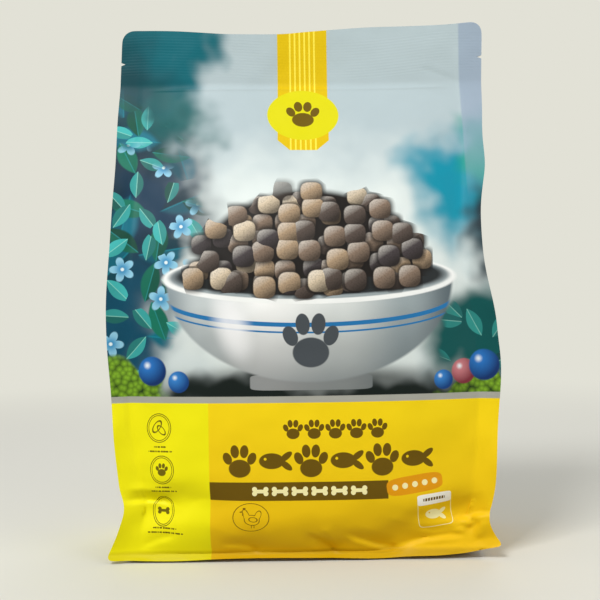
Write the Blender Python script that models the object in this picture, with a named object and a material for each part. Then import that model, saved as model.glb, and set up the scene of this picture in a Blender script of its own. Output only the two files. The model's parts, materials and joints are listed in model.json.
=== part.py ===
"""A filled flat-bottom pouch of laminated film, sealed all round: a 1 kg pack of dry pet food.

The pack is one closed solid. It is lofted from level rings. Each ring runs along the front
panel, round the corner seals, into the folded side gussets and along the back panel.
X runs to the right across the front panel, Y to the back and Z up. Lengths are in metres.
"""

import math

import bmesh
import bpy

# Film sizes
FACE_WIDTH = 0.200
BAG_HEIGHT = 0.285
BAG_DEPTH = 0.076
GUSSET_WIDTH = 0.078
CORNER_SEAL_WIDTH = 0.0105
CORNER_SEAL_THICKNESS = 0.0005
TOP_SEAL_THICKNESS = 0.0010
TOP_CORNER_RADIUS = 0.0065

# How the contents fill it. The sweeps are powers: a higher one draws the panels in sooner.
FRONT_BULGE = 0.0105
BACK_BULGE = 0.0085
FULL_BULGE_HEIGHT = 0.026
PANEL_SQUARENESS = 2.4
SHOULDER_HEIGHT = 0.125
SHOULDER_SWEEP = 1.35
BULGE_SWEEP = 0.9
GUSSET_BULGE = 0.0022
GUSSET_FILLED_HEIGHT = 0.106
GUSSET_FOLDED_HEIGHT = 0.212
GUSSET_SOFTNESS = 1.7
CLOSED_DROP = 0.031
FLAP_HALF_GAP = 0.0009

# Closures near the top, measured down from the top edge's middle height
GROOVE_END_DROP = 0.023
NOTCH_DROP = 0.0185
NOTCH_DEPTH = 0.0026
NOTCH_HALF_HEIGHT = 0.0009
ZIPPER_DROP = 0.034
ZIPPER_RIDGE = 0.0004
ZIPPER_HALF_WIDTH = 0.0010
ZIPPER_FADE_START = 0.80
ZIPPER_FADE_END = 0.95
TOP_WAVE = 0.0022
TOP_WAVE_TURNS = 1.3
TOP_WAVE_START = 0.6

# Bottom rim, where the base panel is sealed to the walls. Its ears curl up from the floor.
RIM_HEIGHT = 0.0040
RIM_SPLAY = 0.0026
RIM_THICKNESS = 0.0007
RIM_CLEARANCE = 0.0008
EAR_RADIUS = 0.0024
EAR_ROWS = 3
GUTTER_WIDTH = 0.0016
GUTTER_HEIGHT = 0.0026
BASE_INSET = 0.0085
BASE_BOW = 0.0012
RIGHT_EAR_LIFT = 0.0064
LEFT_EAR_LIFT = 0.0010
EAR_LENGTH = 0.040
EAR_CREASE_SHARE = 0.7
RIGHT_RIM_EXTRA = 0.0034
RIGHT_RIM_START = 0.040
RIGHT_RIM_END = 0.062

# The corner seals' own shape
SEAL_FORWARD_LEAN = 0.0028
SEAL_RIPPLE = 0.0007
SEAL_RIPPLE_LENGTH = 0.041

# Faces
SHARP_ANGLE = 40
EDGE_EASE = 0.06
EDGE_DENT_SHARE = 0.5
PANEL_COLUMNS = 28
GUSSET_COLUMNS = 8
LOWER_ROW_STEP = 0.0042
MIDDLE_ROW_STEP = 0.0074
LOWER_ROWS_END = 0.046
CORNER_ROWS = 5

HALF_WIDTH = FACE_WIDTH / 2
HALF_DEPTH = BAG_DEPTH / 2
HALF_SEAL_THICKNESS = TOP_SEAL_THICKNESS / 2
FRONT = -1
BACK = 1
LEFT = -1
RIGHT = 1

# How far each film edge stands outside (+) or inside (-) a straight line, by share of the height.
# The pinched waist above the rim and the slack stretch half-way up the right edge are the main ones.
LEFT_WANDER = (
    (0.000, 0.0020), (0.016, 0.0016), (0.032, -0.0008), (0.060, -0.0040), (0.077, -0.0055),
    (0.095, -0.0070), (0.112, -0.0063), (0.130, -0.0045), (0.211, -0.0022), (0.323, -0.0004),
    (0.439, 0.0015), (0.544, 0.0002), (0.719, -0.0007), (0.842, 0.0002), (1.000, -0.0016),
)
RIGHT_WANDER = (
    (0.000, 0.0008), (0.014, -0.0026), (0.026, -0.0043), (0.041, -0.0058), (0.059, -0.0060),
    (0.077, -0.0049), (0.098, -0.0036), (0.133, -0.0023), (0.211, -0.0013), (0.351, 0.0012),
    (0.405, -0.0002), (0.434, -0.0009), (0.456, -0.0021), (0.505, -0.0049), (0.554, -0.0066),
    (0.632, -0.0066), (0.691, -0.0036), (0.719, -0.0020), (0.779, -0.0020), (0.842, -0.0003),
    (1.000, 0.0012),
)

# How far the top edge stands above (+) or below (-) the bag's height, by share of the half width.
TOP_EDGE_LINE = (
    (-1.00, 0.0000), (-0.90, -0.0002), (-0.70, -0.0010), (-0.50, -0.0025), (-0.40, -0.0031),
    (-0.10, -0.0029), (0.03, -0.0016), (0.17, -0.0005), (0.37, 0.0006), (0.60, 0.0005),
    (0.80, 0.0006), (1.00, 0.0020),
)

# How far the rim's lower edge waves up from its clearance, by share of the half width.
RIM_WAVE = (
    (-1.00, 0.0000), (-0.65, 0.0002), (-0.45, 0.0011), (-0.20, 0.0013), (0.00, 0.0011),
    (0.25, 0.0005), (0.40, 0.0001), (0.53, 0.0010), (0.70, 0.0010), (0.84, 0.0003), (1.00, 0.0000),
)

# Dents in the front panel: place across from the nearer film edge (or from the middle, side 0),
# height, half-widths across and up, turn in degrees, and depth. A negative depth stands out.
FRONT_DENTS = (
    (LEFT, 0.020, 0.026, 0.016, 0.008, 12, 0.0042),
    (LEFT, 0.030, 0.044, 0.012, 0.010, -20, -0.0012),
    (LEFT, 0.042, 0.032, 0.016, 0.007, -14, 0.0022),
    (RIGHT, 0.018, 0.024, 0.013, 0.009, -16, 0.0040),
    (RIGHT, 0.036, 0.019, 0.022, 0.006, 8, 0.0026),
    (RIGHT, 0.030, 0.050, 0.020, 0.013, 20, 0.0012),
    (0, 0.014, 0.007, 0.009, 0.006, 0, 0.0030),
    (0, 0.045, 0.009, 0.013, 0.008, 14, 0.0038),
    (0, -0.026, 0.008, 0.008, 0.006, 0, 0.0012),
    (0, 0.028, 0.020, 0.030, 0.007, 10, 0.0014),
    (RIGHT, 0.014, 0.205, 0.012, 0.020, -28, 0.0018),
    (LEFT, 0.026, 0.235, 0.020, 0.012, 10, 0.0014),
)
BACK_DENTS = (
    (LEFT, 0.020, 0.022, 0.015, 0.009, 10, 0.0036),
    (RIGHT, 0.021, 0.024, 0.015, 0.009, -12, 0.0038),
    (0, -0.030, 0.010, 0.016, 0.007, 4, 0.0022),
    (0, 0.034, 0.011, 0.014, 0.008, -6, 0.0024),
    (LEFT, 0.030, 0.205, 0.020, 0.014, 24, 0.0016),
    (RIGHT, 0.028, 0.200, 0.018, 0.015, -24, 0.0016),
)


def blend(low, high, value):
    """0 below low and 1 above high, with a smooth rise between them."""
    share = min(1.0, max(0.0, (value - low) / (high - low)))
    return share * share * (3 - 2 * share)


def mix(a, b, share):
    return a + (b - a) * share


def through(stations, place):
    """A smooth curve through (place, value) stations, read at one place."""
    if place <= stations[0][0]:
        return stations[0][1]
    if place >= stations[-1][0]:
        return stations[-1][1]
    slopes = []
    for i in range(len(stations)):
        before = stations[max(i - 1, 0)]
        after = stations[min(i + 1, len(stations) - 1)]
        slopes.append((after[1] - before[1]) / (after[0] - before[0]))
    i = max(k for k in range(len(stations) - 1) if stations[k][0] <= place)
    (p0, v0), (p1, v1) = stations[i], stations[i + 1]
    span = p1 - p0
    t = (place - p0) / span
    start = (1 + 2 * t) * (1 - t) ** 2 * v0 + t * (1 - t) ** 2 * span * slopes[i]
    end = t * t * (3 - 2 * t) * v1 + t * t * (t - 1) * span * slopes[i + 1]
    return start + end


def taper_share(height):
    """0 at the shoulder, 1 where the front and back panels come together."""
    closed = BAG_HEIGHT - CLOSED_DROP
    return min(1.0, max(0.0, (height - SHOULDER_HEIGHT) / (closed - SHOULDER_HEIGHT)))


def half_depth(height):
    """From the middle plane to the corner seals' roots."""
    full = (1 - taper_share(height) ** 2) ** SHOULDER_SWEEP
    sealed = blend(BAG_HEIGHT - CLOSED_DROP, BAG_HEIGHT - NOTCH_DROP, height)
    closed = mix(FLAP_HALF_GAP, HALF_SEAL_THICKNESS, sealed)
    return mix(closed, HALF_DEPTH, full)


def bulge(height, side):
    """How far the middle of a panel stands out past its corner seals."""
    most = FRONT_BULGE if side == FRONT else BACK_BULGE
    lower = mix(BASE_BOW / most, 1.0, math.sqrt(blend(RIM_HEIGHT, FULL_BULGE_HEIGHT, height)))
    upper = (1 - taper_share(height) ** 2) ** BULGE_SWEEP
    return most * lower * upper


def gusset_inset(height, share):
    """How far the side gusset lies inside the corner seals' roots: share is 0 on its centre crease."""
    half = GUSSET_WIDTH / 2
    vee = math.sqrt(max(half * half - half_depth(height) ** 2, 0.0))
    folded = blend(GUSSET_FILLED_HEIGHT, GUSSET_FOLDED_HEIGHT, height)
    softness = mix(GUSSET_SOFTNESS, 1.0, folded)
    return folded * vee * (1 - abs(share) ** softness) - (1 - folded) * GUSSET_BULGE * (1 - share**2)


def seal_edge(height, hand):
    """Where the film's edge stands on one side, before the top corner is rounded."""
    return HALF_WIDTH + through(LEFT_WANDER if hand == LEFT else RIGHT_WANDER, height / BAG_HEIGHT)


def corner_cut(height):
    """How much the rounded top corner takes off the edge."""
    over = height - (BAG_HEIGHT - TOP_CORNER_RADIUS)
    if over <= 0:
        return 0.0
    over = min(over, TOP_CORNER_RADIUS)
    return TOP_CORNER_RADIUS - math.sqrt(TOP_CORNER_RADIUS**2 - over**2)


def ear_cut(height):
    """How much the rounded lower corner takes off the ears of the rim."""
    under = max(0.0, EAR_RADIUS - height)
    return EAR_RADIUS - math.sqrt(EAR_RADIUS**2 - under**2)


def notch_cut(height):
    """The tear notch is a V in both edges."""
    away = abs(height - (BAG_HEIGHT - NOTCH_DROP))
    return NOTCH_DEPTH * max(0.0, 1 - away / NOTCH_HALF_HEIGHT)


def relief(dents, x, height):
    """The depth of all dents in a panel at one place."""
    total = 0.0
    for hand, across, up, wide, tall, turn, depth in dents:
        centre = across if hand == 0 else hand * (HALF_WIDTH - across)
        dx, dz = x - centre, height - up
        c, s = math.cos(math.radians(turn)), math.sin(math.radians(turn))
        u, v = (dx * c + dz * s) / wide, (dz * c - dx * s) / tall
        total += depth * math.exp(-(u * u + v * v))
    return total


def zipper_ridge(x, height):
    """The press-to-close strip inside shows as a fine ridge across the front."""
    away = abs(height - (BAG_HEIGHT - ZIPPER_DROP))
    ends = 1 - blend(ZIPPER_FADE_START, ZIPPER_FADE_END, abs(x) / (HALF_WIDTH - CORNER_SEAL_WIDTH))
    return ZIPPER_RIDGE * ends * max(0.0, 1 - away / ZIPPER_HALF_WIDTH)


def ear_lift(x):
    """How far the rim's lower edge curls up from the floor towards its ends."""
    over = max(0.0, abs(x) - HALF_WIDTH + EAR_LENGTH) / EAR_LENGTH
    return (RIGHT_EAR_LIFT if x > 0 else LEFT_EAR_LIFT) * over**2


def rim_edge_height(x):
    """Where the rim's lower edge stands over the floor."""
    return RIM_CLEARANCE + ear_lift(x) + through(RIM_WAVE, x / HALF_WIDTH)


def shift_up(x, height):
    """Waves the top edge, and raises the rim's crease along the right and at the ears."""
    top = blend(BAG_HEIGHT - ZIPPER_DROP, BAG_HEIGHT, height) * through(TOP_EDGE_LINE, x / HALF_WIDTH)
    crease = EAR_CREASE_SHARE * ear_lift(x) + RIGHT_RIM_EXTRA * blend(RIGHT_RIM_START, RIGHT_RIM_END, x)
    low = 1 - blend(RIM_HEIGHT, LOWER_ROWS_END, height)
    return height + top + low * crease


def top_wave(x, height):
    """The flat top leans and waves a little to the front and back."""
    share = blend(SHOULDER_HEIGHT, BAG_HEIGHT, height)
    return TOP_WAVE * share * math.sin(TOP_WAVE_TURNS * math.pi * x / HALF_WIDTH + TOP_WAVE_START)


def panel_points(height, side, roots):
    """One panel's line across a ring, from the left root to the right root."""
    points = []
    depth = half_depth(height)
    stand = bulge(height, side)
    for column in range(PANEL_COLUMNS + 1):
        share = column / PANEL_COLUMNS
        x = mix(roots[LEFT], roots[RIGHT], share)
        crown = 1 - abs(2 * share - 1) ** PANEL_SQUARENESS
        out = depth + stand * crown
        edge_ease = blend(0.0, EDGE_EASE, share) * blend(0.0, EDGE_EASE, 1 - share)
        if side == FRONT:
            out += zipper_ridge(x, height)
            dent = relief(FRONT_DENTS, x, height)
        else:
            dent = relief(BACK_DENTS, x, height)
        below_seal = 1 - blend(BAG_HEIGHT - ZIPPER_DROP, BAG_HEIGHT - GROOVE_END_DROP, height)
        out -= dent * below_seal * mix(EDGE_DENT_SHARE, 1.0, edge_ease)
        points.append((x, side * out))
    return points


def corner_seal(height, side, hand, edge, splay):
    """Outer and inner points of one corner seal, each from its root to its edge."""
    lean = SEAL_FORWARD_LEAN * (1 - taper_share(height) ** 2)
    ripple = SEAL_RIPPLE * math.sin(2 * math.pi * height / SEAL_RIPPLE_LENGTH + side + hand)
    ripple *= 1 - taper_share(height)
    depth = half_depth(height)
    root = edge - CORNER_SEAL_WIDTH + corner_cut(height) + ear_cut(height)
    outer, inner = [], []
    for share in (0.0, 0.5, 1.0):
        x = hand * mix(root, edge, share)
        y = depth + splay + lean * share + ripple * share * share
        outer.append((x, side * y))
        inner.append((x, side * (y - CORNER_SEAL_THICKNESS)))
    return outer, inner


def gusset_points(height, hand, root, splay):
    """The side gusset from the front seal's root to the back one's, without its end points."""
    reach = half_depth(height) + splay - CORNER_SEAL_THICKNESS
    points = []
    for column in range(1, GUSSET_COLUMNS):
        share = 2 * column / GUSSET_COLUMNS - 1
        x = root - gusset_inset(height, share) + splay * (1 - abs(share))
        points.append((hand * x, reach * share))
    return points


def ring_line(height, splay=0.0):
    """The skin's outline at one height: a list of (x, y), counter-clockwise seen from above."""
    cut = corner_cut(height) + notch_cut(height) + ear_cut(height)
    edges = {h: seal_edge(height, h) - cut for h in (LEFT, RIGHT)}
    straight = {h: seal_edge(height, h) for h in (LEFT, RIGHT)}
    roots = {h: h * (straight[h] - CORNER_SEAL_WIDTH) for h in (LEFT, RIGHT)}
    merged = blend(BAG_HEIGHT - CLOSED_DROP, BAG_HEIGHT - GROOVE_END_DROP, height)

    front = [(x, y - splay) for x, y in panel_points(height, FRONT, roots)]
    back = [(x, y + splay) for x, y in panel_points(height, BACK, roots)]
    sides = {}
    for hand in (LEFT, RIGHT):
        front_outer, front_inner = corner_seal(height, FRONT, hand, edges[hand], splay)
        back_outer, back_inner = corner_seal(height, BACK, hand, edges[hand], splay)
        gusset = gusset_points(height, hand, abs(roots[hand]), splay)
        groove = front_inner[::-1] + gusset + back_inner
        reach = half_depth(height)
        last = len(groove) + 1
        for i, (x, y) in enumerate(groove):
            flat = (hand * edges[hand], reach * (2 * (i + 1) / last - 1))
            groove[i] = (mix(x, flat[0], merged), mix(y, flat[1], merged))
        sides[hand] = front_outer[1:] + groove + back_outer[:0:-1]

    return front + sides[RIGHT] + back[::-1] + sides[LEFT][::-1]


def row_heights():
    """Ring heights from the rim's crease to the top edge: close together where the form is fine."""
    closed = BAG_HEIGHT - CLOSED_DROP
    zipper = BAG_HEIGHT - ZIPPER_DROP
    notch = BAG_HEIGHT - NOTCH_DROP
    groove_end = BAG_HEIGHT - GROOVE_END_DROP
    corner = BAG_HEIGHT - TOP_CORNER_RADIUS
    heights = []

    def fill(low, high, step):
        count = max(1, round((high - low) / step))
        heights.extend(low + (high - low) * i / count for i in range(count))

    below_zipper = zipper - 2 * ZIPPER_HALF_WIDTH
    fill(RIM_HEIGHT, LOWER_ROWS_END, LOWER_ROW_STEP)
    fill(LOWER_ROWS_END, below_zipper, MIDDLE_ROW_STEP)
    heights.extend((below_zipper, zipper - ZIPPER_HALF_WIDTH, zipper, zipper + ZIPPER_HALF_WIDTH))
    fill(closed, groove_end, (groove_end - closed) / 4)
    heights.extend((groove_end, notch - NOTCH_HALF_HEIGHT, notch, notch + NOTCH_HALF_HEIGHT))
    heights.append((notch + corner) / 2)
    for i in range(CORNER_ROWS + 1):
        heights.append(corner + TOP_CORNER_RADIUS * math.sin(math.pi / 2 * i / CORNER_ROWS))
    return heights


def loft(mesh, lower, upper):
    """A band of faces between two rings of vertices."""
    count = len(lower)
    for i in range(count):
        j = (i + 1) % count
        mesh.faces.new((lower[i], lower[j], upper[j], upper[i]))


def side_count():
    """Vertices on one side of a ring, between the front panel and the back panel."""
    return 2 * 2 + 2 * 3 + GUSSET_COLUMNS - 1


def close_top(mesh, top):
    """Joins the front line of the top ring to the back line, edge to edge."""
    line = PANEL_COLUMNS + 1
    side = side_count()
    front = top[:line]
    right = top[line:line + side]
    back = top[line + side:2 * line + side][::-1]
    left = top[2 * line + side:][::-1]
    for i in range(PANEL_COLUMNS):
        mesh.faces.new((front[i], front[i + 1], back[i + 1], back[i]))
    for end, edge, turn in ((-1, right, 1), (0, left, -1)):
        near = (front[end], edge[0], edge[-1], back[end])
        mesh.faces.new(near[::turn])
        mesh.faces.new(tuple(edge)[::turn])


def base_loop(bottom):
    """Closes under each corner seal's end, and returns the loop left for the base panel."""
    line = PANEL_COLUMNS + 1
    side = side_count()
    front = bottom[:line]
    right = bottom[line:line + side]
    back = bottom[line + side:2 * line + side]
    left = bottom[2 * line + side:]
    caps = []
    for root, edge, inner in (
        (front[-1], right[:2], right[2:5]),
        (back[0], right[:-3:-1], right[-3:-6:-1]),
        (back[-1], left[:2], left[2:5]),
        (front[0], left[:-3:-1], left[-3:-6:-1]),
    ):
        caps.append((root, edge[0], edge[1], inner[0], inner[1], inner[2]))
    loop = front + right[4:-4] + back + left[4:-4]
    return caps, loop


def base_ring(mesh, loop, inset, height, flat):
    """The loop moved towards the middle by an inset, at a height; flat 1 levels it, 0 follows the rim."""
    moved = []
    for vertex in loop:
        x, y, z = vertex.co
        new_x = x * (1 - inset / HALF_WIDTH)
        new_y = y * (1 - inset / HALF_DEPTH)
        moved.append(mesh.verts.new((new_x, new_y, mix(z + height, height, flat))))
    return moved


def build_walls(mesh):
    """The rings from the rim's lower edge to the top edge, with the faces between them."""
    rings = []
    for row in range(EAR_ROWS + 1):
        height = EAR_RADIUS * (1 - math.cos(math.pi / 2 * row / EAR_ROWS))
        share = height / RIM_HEIGHT
        line = ring_line(height, RIM_SPLAY * (1 - share))
        points = [(x, y, mix(rim_edge_height(x), shift_up(x, RIM_HEIGHT), share)) for x, y in line]
        rings.append([mesh.verts.new(point) for point in points])
    for height in row_heights():
        line = ring_line(height)
        points = [(x, y + top_wave(x, height), shift_up(x, height)) for x, y in line]
        rings.append([mesh.verts.new(point) for point in points])
    for lower, upper in zip(rings, rings[1:]):
        loft(mesh, lower, upper)
    return rings


def build_base(mesh, rim_edge):
    """The underside: the rim's edge, the gutter behind it and the flat sole."""
    caps, loop = base_loop(rim_edge)
    for root, mid_outer, tip_outer, tip_inner, mid_inner, root_inner in caps:
        mesh.faces.new((root, mid_outer, mid_inner, root_inner))
        mesh.faces.new((mid_outer, tip_outer, tip_inner, mid_inner))
    under = base_ring(mesh, loop, RIM_THICKNESS, 0.0, 0.0)
    gutter = base_ring(mesh, loop, RIM_THICKNESS + GUTTER_WIDTH, GUTTER_HEIGHT, 0.0)
    sole = base_ring(mesh, loop, BASE_INSET, 0.0, 1.0)
    base_rings = [loop, under, gutter, sole]
    for outer, inner in zip(base_rings, base_rings[1:]):
        loft(mesh, outer, inner)
    sole_edges = [mesh.edges.get((sole[i], sole[i - 1])) for i in range(len(sole))]
    bmesh.ops.contextual_create(mesh, geom=sole_edges)


def centre_on_base(mesh):
    """Puts the middle of the overall box at x = 0 and y = 0, and leaves the sole at z = 0."""
    middle = []
    for axis in (0, 1):
        places = [vertex.co[axis] for vertex in mesh.verts]
        middle.append((min(places) + max(places)) / 2)
    bmesh.ops.translate(mesh, verts=mesh.verts, vec=(-middle[0], -middle[1], 0.0))


def build_bag():
    mesh = bmesh.new()
    rings = build_walls(mesh)
    close_top(mesh, rings[-1])
    build_base(mesh, rings[0])
    centre_on_base(mesh)
    bmesh.ops.recalc_face_normals(mesh, faces=mesh.faces)
    data = bpy.data.meshes.new("pet_food_bag")
    mesh.to_mesh(data)
    mesh.free()
    data.shade_smooth()
    data.set_sharp_from_angle(angle=math.radians(SHARP_ANGLE))
    bag = bpy.data.objects.new("pet_food_bag", data)
    bpy.context.scene.collection.objects.link(bag)
    return bag


def printed_film():
    """Glossy laminated film, printed golden yellow."""
    film = bpy.data.materials.new("printed_film")
    film.use_nodes = True
    shader = film.node_tree.nodes["Principled BSDF"]
    shader.inputs["Base Color"].default_value = (0.82, 0.60, 0.03, 1.0)
    shader.inputs["Roughness"].default_value = 0.32
    shader.inputs["Metallic"].default_value = 0.0
    return film


for old in list(bpy.data.objects):
    bpy.data.objects.remove(old)
food_bag = build_bag()
food_bag.data.materials.append(printed_film())
print("faces:", sum(len(face.vertices) - 2 for face in food_bag.data.polygons))
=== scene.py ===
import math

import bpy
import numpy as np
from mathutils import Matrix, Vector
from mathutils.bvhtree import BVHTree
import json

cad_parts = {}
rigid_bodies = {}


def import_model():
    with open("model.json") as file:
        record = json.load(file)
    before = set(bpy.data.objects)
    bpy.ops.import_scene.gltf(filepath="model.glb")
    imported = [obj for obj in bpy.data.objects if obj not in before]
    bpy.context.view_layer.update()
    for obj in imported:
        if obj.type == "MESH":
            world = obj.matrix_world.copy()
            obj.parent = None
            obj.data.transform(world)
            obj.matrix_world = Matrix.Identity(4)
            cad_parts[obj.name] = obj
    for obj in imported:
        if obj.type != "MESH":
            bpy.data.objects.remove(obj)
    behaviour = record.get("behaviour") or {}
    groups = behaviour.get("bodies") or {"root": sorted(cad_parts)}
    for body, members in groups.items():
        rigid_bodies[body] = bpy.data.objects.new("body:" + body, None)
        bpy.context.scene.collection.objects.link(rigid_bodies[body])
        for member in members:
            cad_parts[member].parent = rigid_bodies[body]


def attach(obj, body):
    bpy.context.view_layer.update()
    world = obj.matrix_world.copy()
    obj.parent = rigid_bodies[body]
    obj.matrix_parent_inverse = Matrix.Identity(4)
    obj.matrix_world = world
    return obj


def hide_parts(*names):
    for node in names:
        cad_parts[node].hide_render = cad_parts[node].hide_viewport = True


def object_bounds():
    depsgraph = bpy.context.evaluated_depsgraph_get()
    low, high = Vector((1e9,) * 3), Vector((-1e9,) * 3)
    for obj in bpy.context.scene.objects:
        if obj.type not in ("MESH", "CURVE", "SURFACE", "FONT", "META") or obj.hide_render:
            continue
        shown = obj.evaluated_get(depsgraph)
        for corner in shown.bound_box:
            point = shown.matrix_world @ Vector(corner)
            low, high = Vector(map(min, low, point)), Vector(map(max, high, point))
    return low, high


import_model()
bounds_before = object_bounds()

# %% [markdown]
# # A filled flat-bottom pouch of dry pet food
# The pack is a pouch of printed, laminated film. Front, back, two folded sides and a base are
# welded together at four corner seals, a flat top seal and a rim round the base. The packed
# solid already has that form, so the film keeps it. This file gives it a finer skin with the
# creases of handling, lays the print on it and sets it in plain studio light.

MM = 0.001
low, high = bounds_before
print("packed bag, mm:", [round((high[i] - low[i]) / MM, 1) for i in range(3)])

# %% [markdown]
# ## The skin
# The film is thin and smooth, so it needs many small faces before it can take a crease. A grid
# could be shaped from nothing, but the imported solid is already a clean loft. A copy of it is
# merged to one surface, its triangles are joined back to four-sided faces, the hard edges of
# the seals are held with creases, and the rest is rounded by subdivision.

# %% Copy the solid and merge it to one surface
def pick_only(obj):
    """Selects one object alone and makes it the active one."""
    bpy.ops.object.select_all(action="DESELECT")
    obj.select_set(True)
    bpy.context.view_layer.objects.active = obj


solid = bpy.data.objects["pet_food_bag"]
pick_only(solid)
bpy.ops.object.duplicate()
film = bpy.context.view_layer.objects.active
film.name = "printed_film_skin"
bpy.ops.object.parent_clear(type="CLEAR_KEEP_TRANSFORM")
for key in list(film.keys()):
    del film[key]
bpy.ops.mesh.customdata_custom_splitnormals_clear()
bpy.ops.object.mode_set(mode="EDIT")
bpy.ops.mesh.select_all(action="SELECT")
bpy.ops.mesh.remove_doubles(threshold=0.01 * MM)
bpy.ops.mesh.tris_convert_to_quads(face_threshold=math.radians(60), shape_threshold=math.radians(120))

# %% Hold the hard edges, then round the rest
HARD_EDGE = 50
bpy.ops.mesh.select_mode(type="EDGE")
bpy.ops.mesh.select_all(action="DESELECT")
bpy.ops.mesh.edges_select_sharp(sharpness=math.radians(HARD_EDGE))
bpy.ops.transform.edge_crease(value=1.0)
bpy.ops.object.mode_set(mode="OBJECT")
print("four-sided faces:", sum(len(face.vertices) == 4 for face in film.data.polygons), "of",
      len(film.data.polygons))

finer = film.modifiers.new("finer", "SUBSURF")
finer.levels = 2
finer.render_levels = 2
bpy.ops.object.modifier_apply(modifier=finer.name)
print("faces of the skin:", len(film.data.polygons))


# %% Read and move the points of the skin
def points_of(obj, kind="co"):
    """All of a piece's points, or with kind "normal" their normals, as rows of x, y, z."""
    values = np.empty(len(obj.data.vertices) * 3)
    obj.data.vertices.foreach_get(kind, values)
    return values.reshape(-1, 3)


def move_points(obj, points):
    """Puts all of a piece's points at new places."""
    obj.data.vertices.foreach_set("co", points.ravel())
    obj.data.update()


# %% [markdown]
# ## Creases of handling
# A filled pouch is dented where the food leaves slack film: at its lower corners, along the rim
# and below the seal. By hand, one picks the points along a fold and drags them with
# proportional editing, so that the film round them follows. That measures from the nearest
# picked point, which leaves steps along a slanting fold. So here the distance to the fold's own
# line is worked out for each point, and the rest is the same: the film follows less the further
# off it lies. Each fold has a line of (x, z) places, how far the film follows on the left and on
# the right of it, and a depth. A negative depth lifts a ridge.

# %% Measure the panels on a grid of straight lines
FRONT, BACK = -1, 1
GRID_STEP = 1.0 * MM
GRID_HALF_WIDTH = 104 * MM
GRID_LOW, GRID_HIGH = 1.5 * MM, 288 * MM
grid_x = np.arange(-GRID_HALF_WIDTH, GRID_HALF_WIDTH + GRID_STEP / 2, GRID_STEP)
grid_z = np.arange(GRID_LOW, GRID_HIGH, GRID_STEP)


def fill_gaps(depths):
    """Gives places beside the panel the depth of its nearest place in the same row."""
    filled = depths.copy()
    places = np.arange(depths.shape[1])
    for row, line in enumerate(depths):
        known = ~np.isnan(line)
        if known.any():
            filled[row] = np.interp(places, places[known], line[known])
        elif row:
            filled[row] = filled[row - 1]
    return filled


def panel_depths(side):
    """The y of the panel nearest to a viewer in front (or behind), for each place of the grid."""
    skin = BVHTree.FromObject(film, bpy.context.evaluated_depsgraph_get())
    depths = np.full((len(grid_z), len(grid_x)), np.nan)
    for row, z in enumerate(grid_z):
        for column, x in enumerate(grid_x):
            hit = skin.ray_cast(Vector((x, side, z)), Vector((0, -side, 0)))[0]
            if hit is not None:
                depths[row, column] = hit.y
    return fill_gaps(depths)


def read_grid(values, x, z):
    """Reads a grid of values between its lines."""
    column = np.clip((x - grid_x[0]) / GRID_STEP, 0, len(grid_x) - 1.001)
    row = np.clip((z - grid_z[0]) / GRID_STEP, 0, len(grid_z) - 1.001)
    c, r = column.astype(int), row.astype(int)
    s, t = column - c, row - r
    lower = values[r, c] * (1 - s) + values[r, c + 1] * s
    upper = values[r + 1, c] * (1 - s) + values[r + 1, c + 1] * s
    return lower * (1 - t) + upper * t


print("grid places:", len(grid_x) * len(grid_z))


# %% Press a fold into the film
# A fold fades in over a quarter of its length, and keeps a little of its depth at its ends.
END_FADE, LEAST_SHARE = 0.25, 0.12
# How fast it falls off aside: above 1 leaves a line at its bottom and none at its edges.
FALL_OFF = 1.25
# The layers welded behind a panel go with it up to the first of these depths, and past the second stay.
FOLLOW_FULLY, FOLLOW_NOT = 4 * MM, 12 * MM


def fold_share(points, line, reach):
    """How much each point follows a fold, from 0 to 1, seen from the front."""
    share = np.zeros(len(points))
    corners = np.array(line) * MM
    pieces = np.linalg.norm(np.diff(corners, axis=0), axis=1)
    for i, (start, end) in enumerate(zip(corners, corners[1:])):
        along = end - start
        from_start = points[:, (0, 2)] - start
        place = np.clip(from_start @ along / (along @ along), 0, 1)
        aside = from_start - place[:, None] * along
        far = np.linalg.norm(aside, axis=1) + 1e-9
        # From 1 straight to the left of the line, through 0 before its ends, to -1 on its right
        turn = (along[0] * aside[:, 1] - along[1] * aside[:, 0]) / (far * pieces[i])
        near = 1 - far / ((reach[0] * (1 + turn) + reach[1] * (1 - turn)) / 2 * MM)
        run = (pieces[:i].sum() + place * pieces[i]) / pieces.sum()
        fade = np.clip(np.minimum(run, 1 - run) / END_FADE, LEAST_SHARE, 1)
        share = np.maximum(share, np.clip(near, 0, 1) ** FALL_OFF * fade)
    return share


def press_all(side, folds):
    """Presses folds into the front or the back, with the layers close behind it."""
    points = points_of(film)
    behind = abs(points[:, 1] - read_grid(panel_depths(side), points[:, 0], points[:, 2]))
    follows = np.clip((FOLLOW_NOT - behind) / (FOLLOW_NOT - FOLLOW_FULLY), 0, 1)
    for line, reach, depth in folds:
        points[:, 1] -= side * depth * MM * fold_share(points, line, reach) * follows
    move_points(film, points)


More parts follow.
